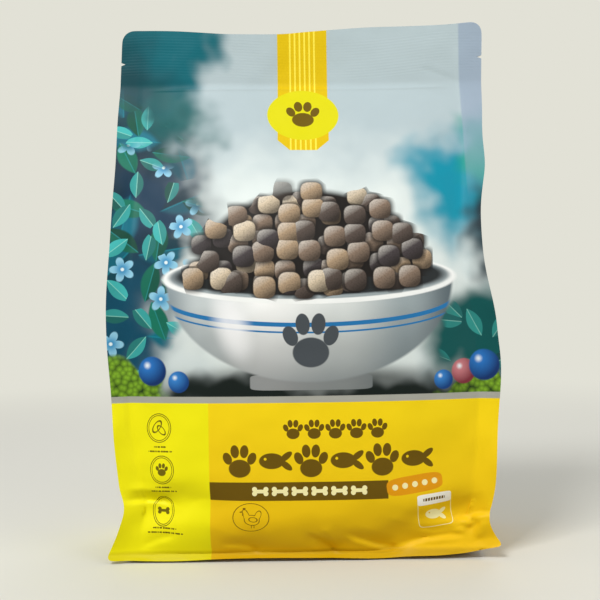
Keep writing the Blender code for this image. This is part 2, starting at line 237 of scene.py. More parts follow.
# %% Folds of the front
FRONT_FOLDS = (
    # The corner seals' inner edges
    (((86, 284), (86.5, 262), (88, 238), (87.5, 218), (85, 190), (83.5, 168)), (1.4, 9), 0.5),
    (((83.5, 170), (86, 139), (89.2, 116), (90.3, 96), (89, 62), (86, 34), (85, 22)), (3, 1.6), 0.45),
    (((-86.5, 282), (-87, 235), (-88, 190), (-90.5, 138)), (5, 1.4), 0.35),
    (((-91, 96), (-90, 70), (-86, 44), (-82.5, 32), (-82.3, 26), (-84.9, 17), (-86.2, 5)), (5, 1.7), 1.0),
    # The lower left corner's crossing folds
    (((-94, 32.2), (-88, 31.7), (-76, 31.5), (-66, 29.5)), (6, 1.6), 2.4),
    (((-92, 38), (-80, 37.5), (-68, 35)), (4, 4), -0.7),
    (((-86, 7), (-77, 11.5), (-66, 14.5)), (6, 2.4), 1.1),
    (((-82, 52), (-79.5, 46), (-76, 55)), (3, 4), 0.4),
    (((-60, 30), (-54, 33), (-46, 33.5)), (5, 3), 0.4),
    # Pits and ridges where the panel turns under into the rim
    (((-26, 3.6), (-26, 8)), (2.6, 2.6), 1.2),
    (((-25, 6.5), (-33, 9), (-44, 9.5)), (2, 5), 0.8),
    (((14.3, 3.2), (14.3, 7)), (2.6, 2.6), 1.3),
    (((15, 5), (9, 10), (0, 15)), (6, 2.4), 1.5),
    (((16, 7), (14, 12), (8, 19)), (3, 5), -0.8),
    (((20, 15.5), (27, 11.5), (37, 7.8), (46, 4.6)), (7, 2.2), 1.9),
    (((45.3, 3.4), (45.3, 7.5)), (2.8, 2.8), 1.3),
    (((40, 24), (52, 19), (66, 18)), (5, 6), -0.6),
    (((46, 6.5), (62, 10.4), (72.4, 11.7), (84, 11.6)), (7, 2.2), 2.3),
    (((56, 16.5), (66, 14.5), (76, 15.5)), (4, 2), 0.6),
    (((-52, 21), (-40, 16), (-30, 14)), (6, 6), -0.4),
    # The lower right corner's crumple
    (((74, 20.5), (82, 20.2), (88, 22.8), (97, 24.4)), (11, 2.0), 2.7),
    (((84.5, 21), (88, 17.5), (85.6, 15), (85, 11.5)), (2.0, 2.6), 2.0),
    (((78, 21.5), (82, 18.6), (86.5, 19.8)), (2.4, 2.2), -0.9),
    (((91, 20), (90.5, 14), (88, 10)), (3.5, 3.0), -1.0),
    (((79, 17), (85, 13.5)), (2.2, 2.2), 1.2),
    (((77, 13.5), (84, 15.6)), (2.2, 2.2), -0.8),
    # Slack below the seal at the right
    (((66, 263), (76, 259), (87, 254.5)), (3, 7), 0.45),
    (((60, 244), (72, 247), (84, 245)), (8, 3), 0.35),
    (((70, 214), (78, 222), (86, 226)), (3, 9), 0.5),
    (((-84, 226), (-82, 205), (-85, 185)), (8, 8), 0.4),
)
press_all(FRONT, FRONT_FOLDS)
print("folds in the front:", len(FRONT_FOLDS))

# %% Folds of the back
BACK_FOLDS = (
    (((-20, 3.8), (-20, 8)), (3, 3), 1.0),
    (((-20, 6), (-14, 12), (-6, 17)), (5, 5), -0.9),
    (((38, 3.8), (38, 8)), (3, 3), 1.0),
    (((38, 6), (46, 12), (56, 18)), (5, 5), -0.8),
    (((-92, 27), (-80, 29), (-66, 27)), (3, 7), 1.0),
    (((92, 26), (80, 29), (66, 28)), (7, 3), 1.0),
    (((86, 262), (87, 220), (86, 180), (88, 130)), (1.6, 6), 0.4),
    (((-86, 262), (-87, 220), (-86, 180), (-88, 130)), (6, 1.6), 0.4),
    (((78, 214), (70, 204), (60, 200)), (8, 4), 0.5),
    (((-80, 210), (-72, 196), (-60, 192)), (4, 8), 0.5),
)
press_all(BACK, BACK_FOLDS)
print("folds in the back:", len(BACK_FOLDS))

# %% Keep the film behind a panel from coming through it
FILM_GAP = 0.4 * MM
FACES_INWARDS = -0.3


def keep_apart(side):
    """Sets inner faces back where they touch the panel, and gives the panel's depths."""
    points, facing = points_of(film), side * points_of(film, "normal")[:, 1]
    depths = panel_depths(side)
    sunk = side * (read_grid(depths, points[:, 0], points[:, 2]) - points[:, 1])
    touching = (facing < FACES_INWARDS) & (abs(sunk) < FILM_GAP)
    shift = FILM_GAP - sunk[touching]
    points[touching, 1] -= side * shift
    move_points(film, points)
    print("points set back:", len(shift), "by at most, mm:", round(float(shift.max()) / MM, 2))
    return depths


front_depths = keep_apart(FRONT)
back_depths = keep_apart(BACK)

# %% [markdown]
# ## The film as it lies flat
# The print is made on flat film, and bends with it when the pouch is filled. So the print needs
# to know where each point of the skin lay on the flat film. Straight lines from the front find
# the panel's depth on a fine grid. Adding up the true length of film between the grid's lines
# then gives each place two lengths: across from the middle, and up from the base. They are kept
# in a UV map, in metres of film. Beyond the edges, the film runs on round the sides to the back.

# %% Add up the lengths of film
def run_lengths(depths, step, axis):
    """Running length of film along one axis of the grid, from its first line."""
    pieces = np.hypot(np.diff(depths, axis=axis), step)
    pad = [(0, 0), (0, 0)]
    pad[axis] = (1, 0)
    return np.cumsum(np.pad(pieces, pad), axis=axis)


BAND_HEIGHT = 84 * MM
SEAL_HEIGHT = 285 * MM
middle_column = int(np.argmin(abs(grid_x)))
band_row, seal_row = [int(np.argmin(abs(grid_z - height))) for height in (BAND_HEIGHT, SEAL_HEIGHT)]
across_film = run_lengths(front_depths, GRID_STEP, 1)
across_film -= across_film[:, middle_column:middle_column + 1]
up_film = run_lengths(front_depths, GRID_STEP, 0)
up_film += BAND_HEIGHT - up_film[band_row:band_row + 1, :]
# Film can't stretch, so neighbouring columns share their slack: a running mean takes out the steps.
SHARED_BY = 14  # columns on each side
wide = np.pad(up_film, [(0, 0), (SHARED_BY, SHARED_BY)], mode="edge")
totals = np.cumsum(np.pad(wide, [(0, 0), (1, 0)]), axis=1)
window = 2 * SHARED_BY + 1
up_film = (totals[:, window:] - totals[:, :-window]) / window
print("film from the band to the seal in the middle, mm:",
      round(float(up_film[seal_row, middle_column] - BAND_HEIGHT) / MM, 1))


# %% Write the lengths to a UV map
# Lengths across for the film of the sides and of the back, clear of those of the front
SIDE_START, BACK_START = 160 * MM, 320 * MM
# How far points face out of a panel, and how far behind it they may then lie
FACES_OUT, BEHIND_FOLD = 0.25, 3 * MM
FACES_ASIDE, BEHIND_SKIN = -0.05, 0.35 * MM
# The rim's ledge under each panel can't be reached by a straight line.
LEDGE_TOP, LEDGE_HALF_WIDTH, LEDGE_START = 20 * MM, 84 * MM, 15 * MM
normals = points_of(film, "normal")
x, y, z = points_of(film).T


def on_panel(side, depths):
    """Points that face out of a panel and lie on it, or just behind a fold of it."""
    facing, sunk = side * normals[:, 1], side * (read_grid(depths, x, z) - y)
    return (facing > FACES_OUT) & (sunk < BEHIND_FOLD) | (facing > FACES_ASIDE) & (sunk < BEHIND_SKIN)


on_ledge = (z < LEDGE_TOP) & (abs(x) < LEDGE_HALF_WIDTH)
in_front = on_panel(FRONT, front_depths) | on_ledge & (y < -LEDGE_START)
behind = ~in_front & on_panel(BACK, back_depths) | on_ledge & (y > LEDGE_START)
edge_columns = [int(np.argmin(abs(grid_x - edge))) for edge in (-LEDGE_HALF_WIDTH, LEDGE_HALF_WIDTH)]
edge_film = up_film[:, edge_columns].mean(axis=1)
film_up = np.where(in_front, read_grid(up_film, x, z), np.interp(z, grid_z, edge_film))
film_across = np.where(in_front, read_grid(across_film, x, z), np.sign(x) * (SIDE_START + y))
film_across = np.where(behind, BACK_START - x, film_across)

film_map = film.data.uv_layers.new(name="flat_film")
corner_points = np.empty(len(film.data.loops), dtype=int)
film.data.loops.foreach_get("vertex_index", corner_points)
film_map.data.foreach_set("uv", np.stack((film_across, film_up), 1)[corner_points].ravel())
print("points in front:", int(in_front.sum()), "behind:", int(behind.sum()))

# %% [markdown]
# ## The print
# The film is printed polyester laminated to polyethylene, with a matt face. Its print
# could be painted into an image, but it would then be only as sharp as the image. Here it is
# drawn by the material from fields of colour and simple shapes, all placed in millimetres of
# flat film: a garden picture above, a silver band, and a lemon and a golden panel below.

# %% Helpers for the print
def colour(hex_code):
    """An sRGB hex colour as the linear colour that a material takes."""
    parts = [int(hex_code[i:i + 2], 16) / 255 for i in (1, 3, 5)]
    linear = [part / 12.92 if part <= 0.04045 else ((part + 0.055) / 1.055) ** 2.4 for part in parts]
    return (*linear, 1.0)


def empty_tree(owner):
    """Turns on the nodes of a material or a world and clears them."""
    owner.use_nodes = True
    owner.node_tree.nodes.clear()
    return owner.node_tree


print_film = bpy.data.materials.new("printed_pet_pe_laminate")
tree = empty_tree(print_film)


def add(kind, inputs=None, **settings):
    """Adds one node with its settings. An input is a plain value, or the output that feeds it."""
    node = tree.nodes.new(kind)
    for name, value in settings.items():
        setattr(node, name, value)
    for socket, value in (inputs or {}).items():
        if isinstance(value, bpy.types.NodeSocket):
            tree.links.new(value, node.inputs[socket])
        else:
            node.inputs[socket].default_value = value
    return node.outputs[0] if node.outputs else node


# %% Shapes on the film, in millimetres
def in_shape(place, centre, half_sizes, turn):
    """The place beside a shape's middle, along the shape's own two axes, in its half sizes."""
    if not turn:
        return add("ShaderNodeVectorMath", {
            0: place, 1: (1 / half_sizes[0], 1 / half_sizes[1], 0),
            2: (-centre[0] / half_sizes[0], -centre[1] / half_sizes[1], 0)}, operation="MULTIPLY_ADD")
    beside = add("ShaderNodeVectorMath", {0: place, 1: (*centre, 0)}, operation="SUBTRACT")
    c, s = math.cos(math.radians(turn)), math.sin(math.radians(turn))
    wide, tall = half_sizes
    axes = [add("ShaderNodeVectorMath", {0: beside, 1: axis}, operation="DOT_PRODUCT").node.outputs["Value"]
            for axis in ((c / wide, s / wide, 0), (-s / tall, c / tall, 0))]
    return add("ShaderNodeCombineXYZ", {0: axes[0], 1: axes[1]})


def oval(place, centre, radii, turn=0):
    """How far out a place lies from an oval's centre: 1 on its edge."""
    local = in_shape(place, centre, radii, turn)
    return add("ShaderNodeVectorMath", {0: local}, operation="LENGTH").node.outputs["Value"]


def block(place, centre, half_sizes, turn=0, squareness=3):
    """The same for a rectangle with its corners eased: 1 on its edge."""
    local = in_shape(place, centre, half_sizes, turn)
    for _ in range(squareness):
        local = add("ShaderNodeVectorMath", {0: local, 1: local}, operation="MULTIPLY")
    total = add("ShaderNodeVectorMath", {0: local, 1: (1, 1, 0)}, operation="DOT_PRODUCT").node
    return total.outputs["Value"]


def inside(distance, soft=0.02, edge=1.0, full=1.0):
    """1 (or a part of it) within a shape and 0 outside it, with a soft or a crisp edge."""
    return add("ShaderNodeMapRange", {
        "Value": distance, "From Min": edge - soft, "From Max": edge + soft, "To Min": full, "To Max": 0.0},
        interpolation_type="SMOOTHSTEP")


def outline(distance, half_line):
    """1 on a shape's edge line. Half the line's width is given in the shape's half sizes."""
    return add("ShaderNodeMath", {0: distance, 1: 1.0, 2: half_line}, operation="COMPARE")


def either(*masks):
    """Joins masks into one."""
    joined = masks[0]
    for mask in masks[1:]:
        joined = add("ShaderNodeMath", {0: joined, 1: mask}, operation="MAXIMUM")
    return joined


def both(*masks):
    """Where all masks lie over each other."""
    joined = masks[0]
    for mask in masks[1:]:
        joined = add("ShaderNodeMath", {0: joined, 1: mask}, operation="MULTIPLY")
    return joined


def paint(under, over, mask):
    """Lays a colour over another where the mask is 1."""
    return add("ShaderNodeMix", {0: mask, 6: under, 7: over}, data_type="RGBA").node.outputs[2]


# %% Where each point lies on the film
flat = add("ShaderNodeUVMap", uv_map="flat_film")
place = add("ShaderNodeVectorMath", {0: flat, "Scale": 1 / MM}, operation="SCALE")
parts = add("ShaderNodeSeparateXYZ", {0: place}).node
across, up = parts.outputs[0], parts.outputs[1]


def beyond(value, edge, soft=0.15):
    """1 where a length is past an edge, in millimetres."""
    return add("ShaderNodeMapRange", {
        "Value": value, "From Min": edge - soft, "From Max": edge + soft, "To Min": 0.0, "To Max": 1.0})


# %% [markdown]
# ### The garden picture
# The picture is a blurred garden with a bowl of food. Far things in a photograph lose their
# edges, so the background is a handful of large soft ovals. A noise bends the places that they
# are read at, so that no oval shows. The leaves and flowers are one shape each, turned by chance
# in the cells of a Voronoi texture, and the food is the cells themselves, shaded round.

# %% Soft fields of the background
BEND = 40  # millimetres from one end of the noise to the other
bend = add("ShaderNodeTexNoise", {"Vector": flat, "Scale": 35.0, "Detail": 2.0}, noise_dimensions="2D").node
bent = add("ShaderNodeVectorMath", {0: bend.outputs["Color"], 1: (-0.5, -0.5, 0)}, operation="ADD")
bent = add("ShaderNodeVectorMath", {0: bent, 1: (BEND, BEND, 0), 2: place}, operation="MULTIPLY_ADD")
# Each is a colour, a centre and radii in millimetres of film, a turn and how soft its edge is.
# The pale haze comes first, then the left side from the top down, then the right, then the ground.
FIELDS = (
    ("#e2eae6", (2, 146), (98, 66), 0, 0.5),
    ("#05636f", (-100, 266), (84, 44), 62, 0.2),
    ("#033f48", (-114, 256), (40, 40), 0, 0.5),
    ("#085a5a", (-84, 224), (34, 22), 30, 0.5),
    ("#02283a", (-112, 180), (60, 62), 0, 0.3),
    ("#05304a", (-80, 190), (20, 17), 0, 0.5),
    ("#05465e", (-112, 122), (42, 40), 0, 0.4),
    ("#0b8ca4", (86, 196), (28, 30), 0, 0.5),
    ("#1f9488", (100, 214), (13, 22), 0, 0.6),
    ("#04202a", (101, 172), (14, 22), 0, 0.5),
    ("#06504f", (98, 116), (32, 28), 0, 0.4),
    ("#0b1a17", (20, 81), (130, 12), 0, 0.4),
)
picture = colour("#b0bfc3")
for hex_code, centre, radii, turn, soft in FIELDS:
    picture = paint(picture, colour(hex_code), inside(oval(bent, centre, radii, turn), soft))
violet_edge = both(beyond(across, 88.6, 0.5), beyond(up, 215, 26), 0.8)
picture = paint(picture, colour("#93a3b6"), violet_edge)
print("soft fields:", len(FIELDS))


# %% Leaves in chance cells
ANGLE_PER_METRE = 900
# Half a leaf's width is 1 / 4.6 of its cell, and half its length is the square root of that.
LEAF = 4.6


def scattered(cell, shift):
    """Chance cells on the film: the place within a cell, turned by chance, and three chance values."""
    moved = add("ShaderNodeMapping", {"Vector": flat, "Location": (shift[0] * MM, shift[1] * MM, 0)})
    cells = add("ShaderNodeTexVoronoi", {"Vector": moved, "Scale": 1 / (cell * MM), "Randomness": 0.85},
                voronoi_dimensions="2D").node
    chance = add("ShaderNodeSeparateColor", {0: cells.outputs["Color"]}).node
    # A quarter turn about x brings a cell's height into z, where it serves as a chance angle.
    angle = add("ShaderNodeMapping", {
        "Vector": cells.outputs["Position"], "Rotation": (math.pi / 2, 0, 0),
        "Scale": (0, ANGLE_PER_METRE, 0)})
    turned = add("ShaderNodeMapping", {
        "Vector": moved, "Location": cells.outputs["Position"], "Rotation": angle,
        "Scale": (cell * MM, cell * MM, 1)}, vector_type="TEXTURE")
    return turned, chance


def leaves(under, region, cell, shift, dark, light, vein, soft):
    """Pointed leaves with a midrib, lighter on one half. The cell and its shift are in millimetres."""
    turned, chance = scattered(cell, shift)
    axes = add("ShaderNodeSeparateXYZ", {0: turned}).node
    wide = add("ShaderNodeMath", {0: axes.outputs[1]}, operation="ABSOLUTE")
    along = add("ShaderNodeMath", {0: axes.outputs[0], 1: axes.outputs[0]}, operation="MULTIPLY")
    edge = add("ShaderNodeMath", {0: along, 1: LEAF, 2: -1.0}, operation="MULTIPLY_ADD")
    body = add("ShaderNodeMath", {0: wide, 1: LEAF, 2: edge}, operation="MULTIPLY_ADD")
    leaf = both(inside(body, soft, 0.0), region, beyond(chance.outputs[1], 0.15, 0.01))
    half = beyond(axes.outputs[1], 0.0, 0.02)
    share = add("ShaderNodeMath", {0: half, 1: 0.45, 2: chance.outputs[2]}, operation="MULTIPLY_ADD")
    rib = both(inside(wide, 0.008, 0.012), leaf, 0.6)
    return paint(paint(under, paint(dark, light, share), leaf), vein, rib)


left_bank = inside(oval(bent, (-112, 168), (58, 84)), 0.1)
right_bank = inside(oval(bent, (108, 116), (30, 34)), 0.1)
# The further leaves lie behind, the larger and softer they are.
for bank, cell, shift, tones, soft in (
        (left_bank, 34, (7, 3), ("#04222f", "#0d6c80", "#138294"), 0.3),
        (left_bank, 23, (17, 31), ("#063428", "#12705a", "#2b8f94"), 0.12),
        (left_bank, 17, (41, 19), ("#07433a", "#3fb0ad", "#9adcc9"), 0.06),
        (right_bank, 17, (3, 27), ("#08393f", "#2f8f88", "#8fcabb"), 0.06)):
    picture = leaves(picture, bank, cell, shift, *[colour(tone) for tone in tones], soft)

# %% Pale blue flowers
PETALS = 5
turned, chance = scattered(18, (13, 57))
axes = add("ShaderNodeSeparateXYZ", {0: turned}).node
angle = add("ShaderNodeMath", {0: axes.outputs[1], 1: axes.outputs[0]}, operation="ARCTAN2")
angle = add("ShaderNodeMath", {0: angle, 1: PETALS / 2}, operation="MULTIPLY")
petals = add("ShaderNodeMath", {0: angle}, operation="COSINE")
petals = add("ShaderNodeMath", {0: petals}, operation="ABSOLUTE")
petals = add("ShaderNodeMath", {0: petals, 1: 0.2, 2: 0.17}, operation="MULTIPLY_ADD")
aside, level = axes.outputs[0], axes.outputs[1]
squared = add("ShaderNodeMath", {0: aside, 1: aside}, operation="MULTIPLY")
squared = add("ShaderNodeMath", {0: level, 1: level, 2: squared}, operation="MULTIPLY_ADD")
from_middle = add("ShaderNodeMath", {0: squared}, operation="SQRT")
out_of_flower = add("ShaderNodeMath", {0: from_middle, 1: petals}, operation="DIVIDE")
flower_bank = inside(oval(bent, (-98, 160), (44, 62)), 0.1)
flower = both(inside(out_of_flower, 0.08), flower_bank, beyond(chance.outputs[1], 0.5, 0.01))
petal_tone = paint(colour("#8fc7de"), colour("#2a86b8"), inside(from_middle, 0.16, 0.16))
petal_tone = paint(petal_tone, colour("#e6f3f2"), inside(from_middle, 0.02, 0.05))
picture = paint(picture, petal_tone, flower)

# %% Moss along the ground
moss_grain = add("ShaderNodeTexVoronoi", {"Vector": flat, "Scale": 350.0}, voronoi_dimensions="2D").node
moss_tone = paint(colour("#86b62c"), colour("#0f2a08"), moss_grain.outputs["Distance"])
for centre, radii in (((-96, 88), (30, 15)), ((98, 84), (22, 9))):
    picture = paint(picture, moss_tone, inside(oval(bent, centre, radii), 0.12))

# %% [markdown]
# ### The bowl of food
# The bowl is glazed white stoneware, seen a little from above. A turned form shows as ovals: one
# for its lip and a deeper one for its side. Its foot is a low block. The food is two layers of
# Voronoi cells. A piece is drawn only where its cell's middle lies in the heap, so that whole
# pieces make the heap's edge, and the upper layer throws a soft shadow on the lower one.

# %% The bowl's foot, side and lip
MOUTH = (4, 146)
BOWL_RADIUS, BOWL_DEPTH = 74, 53
from_left = add("ShaderNodeMapRange", {"Value": across, "From Min": -70.0, "From Max": 78.0})
glaze = add("ShaderNodeValToRGB", {0: from_left}).node
glaze.color_ramp.interpolation = "EASE"
glaze.color_ramp.elements[0].color = colour("#8d999e")
glaze.color_ramp.elements[1].color = colour("#59666c")
for spot, hex_code in ((0.12, "#c3cbcb"), (0.34, "#f7f8f5"), (0.60, "#d9dedb"), (0.84, "#98a4a7")):
    glaze.color_ramp.elements.new(spot).color = colour(hex_code)
low_shade = add("ShaderNodeMapRange", {
    "Value": up, "From Min": 90.0, "From Max": 132.0, "To Min": 0.75, "To Max": 0.0})
glaze_tone = paint(glaze.outputs[0], colour("#3f4b50"), low_shade)
below_mouth = inside(up, 0.3, MOUTH[1])
on_ground = both(inside(oval(place, (6, 90), (BOWL_RADIUS, 11)), 0.4), 0.8)
picture = paint(picture, colour("#0a1411"), on_ground)
foot_tone = paint(glaze.outputs[0], colour("#2b3438"), 0.72)
picture = paint(picture, foot_tone, inside(block(place, (4, 93), (31, 4.0)), 0.1))
bowl_side = both(inside(oval(place, MOUTH, (BOWL_RADIUS, BOWL_DEPTH)), 0.015), below_mouth)
picture = paint(picture, glaze_tone, bowl_side)

# %% Two blue hoops, a shine and the lip
LIP = (76, 13.5)
for drop, wide in ((9.5, 2.2), (14.0, 0.9)):
    upper, lower = MOUTH[1] - drop, MOUTH[1] - drop - wide
    past_upper = beyond(oval(place, (MOUTH[0], upper), (BOWL_RADIUS, LIP[1])), 1.0, 0.008)
    in_lower = inside(oval(place, (MOUTH[0], lower), (BOWL_RADIUS, LIP[1])), 0.008)
    hoop = both(past_upper, in_lower, bowl_side, inside(up, 0.3, lower))
    picture = paint(picture, colour("#2474ae"), hoop)
shine = both(inside(oval(place, (-36, 122), (7, 15), 18), 0.7), 0.7)
picture = paint(picture, colour("#ffffff"), shine)
# The lip, the wall within and the dark under the food
for hex_code, rise, radii, soft in (
        ("#f4f6f3", 0.0, LIP, 0.02),
        ("#9aa5a8", 0.6, (72.5, 11.6), 0.03),
        ("#24282a", 1.0, (70, 10.2), 0.06)):
    picture = paint(picture, colour(hex_code), inside(oval(place, (MOUTH[0], MOUTH[1] + rise), radii), soft))


# %% The heap of food
HEAP = (60, 49)  # half its width and its height over the mouth


def food(under, size, shift):
    """A layer of baked pieces of a size in millimetres, each lit from the upper left."""
    moved = add("ShaderNodeMapping", {"Vector": flat, "Location": (shift[0] * MM, shift[1] * MM, 0)})
    cells = add("ShaderNodeTexVoronoi", {
        "Vector": moved, "Scale": 1 / (size * MM), "Randomness": 0.62, "Exponent": 2.9},
        voronoi_dimensions="2D", distance="MINKOWSKI").node
    chance = add("ShaderNodeSeparateColor", {0: cells.outputs["Color"]}).node
    tones = add("ShaderNodeValToRGB", {0: chance.outputs[0]}).node
    tones.color_ramp.interpolation = "CONSTANT"
    tones.color_ramp.elements[0].color = colour("#5b4f48")
    tones.color_ramp.elements[1].color = colour("#d6c4a8")
    for spot, hex_code in ((0.28, "#8b7766"), (0.52, "#b39a7c"), (0.72, "#474042")):
        tones.color_ramp.elements.new(spot).color = colour(hex_code)
    tones.color_ramp.elements[-1].position = 0.86
    middle = add("ShaderNodeVectorMath", {
        0: cells.outputs["Position"], 1: (1 / MM, 1 / MM, 0), 2: (-shift[0], -shift[1], 0)},
        operation="MULTIPLY_ADD")
    beside = add("ShaderNodeVectorMath", {0: place, 1: middle}, operation="SUBTRACT")
    lit = add("ShaderNodeVectorMath", {0: beside, 1: (-0.55 / size, 0.85 / size, 0)},
              operation="DOT_PRODUCT").node.outputs["Value"]
    level = add("ShaderNodeSeparateXYZ", {0: middle}).node.outputs[1]
    in_heap = either(both(inside(oval(middle, MOUTH, HEAP), 0.01), beyond(level, MOUTH[1], 0.1)),
                     inside(oval(middle, (MOUTH[0], MOUTH[1] + 0.5), (63, 7.5)), 0.01))
    shade = both(inside(cells.outputs["Distance"], 0.16, 0.56), in_heap, 0.9)
    piece = both(inside(cells.outputs["Distance"], 0.03, 0.45), in_heap)
    dark = paint(tones.outputs[0], colour("#17120f"), 0.78)
    half_lit = add("ShaderNodeMapRange", {"Value": lit, "From Min": -0.38, "From Max": 0.12})
    fully_lit = add("ShaderNodeMapRange", {
        "Value": lit, "From Min": 0.08, "From Max": 0.5, "To Min": 0.0, "To Max": 0.45})
    body = paint(paint(dark, tones.outputs[0], half_lit), colour("#fffaf0"), fully_lit)
    grain = add("ShaderNodeTexNoise", {"Vector": flat, "Scale": 1100.0, "Detail": 3.0},
                noise_dimensions="2D").node
    crust = add("ShaderNodeMapRange", {
        "Value": grain.outputs["Fac"], "From Min": 0.42, "From Max": 0.72, "To Min": 0.0, "To Max": 0.28})
    body = paint(body, colour("#1d1612"), crust)
    return paint(paint(under, colour("#120e0c"), shade), body, piece)


between_pieces = both(inside(oval(place, MOUTH, (59, 48)), 0.05), beyond(up, MOUTH[1]))
picture = paint(picture, colour("#1a1513"), between_pieces)
picture = food(picture, 11.5, (0, 0))
picture = food(picture, 12.5, (36.2, 71.4))

# %% A paw mark, used on the bowl and in the rows below
def mirrored(place, centre, scale):
    """The place beside a mark's own middle, folded over its upright axis, in the mark's units."""
    local = add("ShaderNodeVectorMath", {0: place, 1: (-centre[0], -centre[1], 0)}, operation="ADD")
    local = add("ShaderNodeVectorMath", {0: local, "Scale": 1 / scale}, operation="SCALE")
    axes = add("ShaderNodeSeparateXYZ", {0: local}).node
    beside = add("ShaderNodeMath", {0: axes.outputs[0]}, operation="ABSOLUTE")
    return add("ShaderNodeCombineXYZ", {0: beside, 1: axes.outputs[1]})


def paw(place, centre, scale):
    """A pad and four toes. At scale 1 it is 13 mm wide."""
    half = mirrored(place, centre, scale)
    return either(inside(oval(half, (0, -2.4), (4.4, 3.6)), 0.05),
                  inside(oval(half, (4.9, 1.6), (1.7, 2.5), -24), 0.05),
                  inside(oval(half, (1.9, 4.4), (1.7, 2.6), -6), 0.05))


picture = paint(picture, colour("#474d52"), paw(place, (4, 113), 2.1))

# %% Berries beside the bowl
BLUE, PALER_BLUE, RED = ("#2f7fd0", "#0d2f66"), ("#3f8fdc", "#12407f"), ("#d98a90", "#7c2f3a")
BERRIES = (
    ((-78, 99), 7.5, BLUE), ((-64, 93.5), 5.5, PALER_BLUE),
    ((83, 97), 6.5, RED), ((94, 100), 8, BLUE), ((72, 93), 5, PALER_BLUE),
)
for centre, radius, (light, dark) in BERRIES:
    away = oval(place, centre, (radius, radius))
    shine_spot = (centre[0] - 0.35 * radius, centre[1] + 0.4 * radius)
    from_shine = oval(place, shine_spot, (1.3 * radius, 1.3 * radius))
    berry_tone = paint(colour(light), colour(dark), from_shine)
    berry_tone = paint(berry_tone, colour("#eef6fb"), inside(from_shine, 0.14, 0.12))
    picture = paint(picture, berry_tone, inside(away, 0.06))
print("berries:", len(BERRIES))

# %% The sides and the back are plain
FRONT_HALF_WIDTH = 106
picture = paint(picture, colour("#0a4a5e"), inside(across, 0.5, -FRONT_HALF_WIDTH))
picture = paint(picture, colour("#93a6ad"), beyond(across, FRONT_HALF_WIDTH, 0.5))

# %% [markdown]
# ### The yellow ribbon and its oval
# A ribbon with fine bright stripes runs down from the seal and ends in cut corners. An oval
# label sits on it. Its mark is left as a plain paw.

# %% Ribbon, stripes and oval
LABEL = (1.7, 243.5)
RIBBON_LEFT, RIBBON_RIGHT, RIBBON_FOOT = -12.1, 15.5, 219.5
CORNER_CUT = -212.2  # distance beside the middle, less the height, along the cut corners
STRIPE_PITCH, STRIPE_START = 2.7, 0.9
ribbon_box = both(beyond(across, RIBBON_LEFT), inside(across, 0.15, RIBBON_RIGHT), beyond(up, RIBBON_FOOT))
from_middle_line = add("ShaderNodeMath", {0: across, 1: -LABEL[0]}, operation="ADD")
beside_middle = add("ShaderNodeMath", {0: from_middle_line}, operation="ABSOLUTE")
cut = add("ShaderNodeMath", {0: beside_middle, 1: up}, operation="SUBTRACT")
ribbon = both(ribbon_box, inside(cut, 0.2, CORNER_CUT))
in_pitch = add("ShaderNodeMath", {0: from_middle_line, 1: STRIPE_PITCH / 2}, operation="PINGPONG")
on_stripe = add("ShaderNodeMath", {0: in_pitch, 1: STRIPE_START}, operation="GREATER_THAN")
stripes = both(ribbon, inside(beside_middle, 0.1, 8.0), on_stripe)
picture = paint(picture, colour("#dcba02"), ribbon)
picture = paint(picture, colour("#f7e34a"), stripes)
picture = paint(picture, colour("#d9d20a"), inside(oval(place, LABEL, (19.5, 17.2)), 0.012))
picture = paint(picture, colour("#6a5406"), paw(place, LABEL, 1.35))

# %% [markdown]
# ### The panels below
# Under the silver band the film is lemon yellow at the left and golden at the right. Where the
# front carries words, the pouch keeps rows of plain marks of the same size and colour: bones,
# paws and fish. The rings, the bar, the tilted tag and the weight box keep their places.

# %% Lemon and golden panels with the silver band
LEMON_EDGE = -48.6
BAND_FOOT, BAND_TOP = 82.7, 86.0
RIM_CREASE = 5.4 * MM
# The golden panel is lighter towards the top: partly its print's own gradient, partly painted shade.
gold = paint(colour("#efc00a"), colour("#fbd90e"), beyond(up, 42.0, 34.0))
panels = paint(colour("#f7ee08"), gold, beyond(across, LEMON_EDGE))
film_colour = paint(panels, picture, beyond(up, (BAND_FOOT + BAND_TOP) / 2))
silver = both(beyond(up, BAND_FOOT), inside(up, 0.15, BAND_TOP))
film_colour = paint(film_colour, colour("#a9a99f"), silver)
# Below its crease the rim is darkened with painted shade, as it takes less light from below. The crease keeps
# one height over the floor, so it is told by the piece's own coordinates.
over_floor = add("ShaderNodeSeparateXYZ", {0: add("ShaderNodeTexCoord").node.outputs["Object"]}).node
painted_rim_shade = inside(over_floor.outputs[2], 1.2 * MM, RIM_CREASE, 0.4)
film_colour = paint(film_colour, colour("#8a6a06"), painted_rim_shade)
BROWN = colour("#6a5104")
PALE = colour("#fbf3b4")


# %% Rows of marks
def in_row(start, pitch, height):
    """The place beside the nearest mark of a row that repeats along the film."""
    shifted = add("ShaderNodeMath", {0: across, 1: -start}, operation="ADD")
    wrapped = add("ShaderNodeMath", {0: shifted, 1: pitch / 2, 2: -pitch / 2}, operation="WRAP")
    level = add("ShaderNodeMath", {0: up, 1: -height}, operation="ADD")
    return add("ShaderNodeCombineXYZ", {0: wrapped, 1: level})


def stretch(start, end, foot, top):
    """A straight-edged stretch of the film, which also keeps a row of marks to its ends."""
    return both(beyond(across, start), inside(across, 0.15, end), beyond(up, foot), inside(up, 0.15, top))


def bone(place, scale):
    """A shaft with two knobs at each end. At scale 1 it is 10 mm long."""
    half = mirrored(place, (0, 0), scale)
    axes = add("ShaderNodeSeparateXYZ", {0: half}).node
    level = add("ShaderNodeMath", {0: axes.outputs[1]}, operation="ABSOLUTE")
    quarter = add("ShaderNodeCombineXYZ", {0: axes.outputs[0], 1: level})
    shaft = inside(block(quarter, (0, 0), (3.6, 1.15)), 0.1)
    return either(shaft, inside(oval(quarter, (3.6, 1.35), (1.6, 1.6)), 0.06))


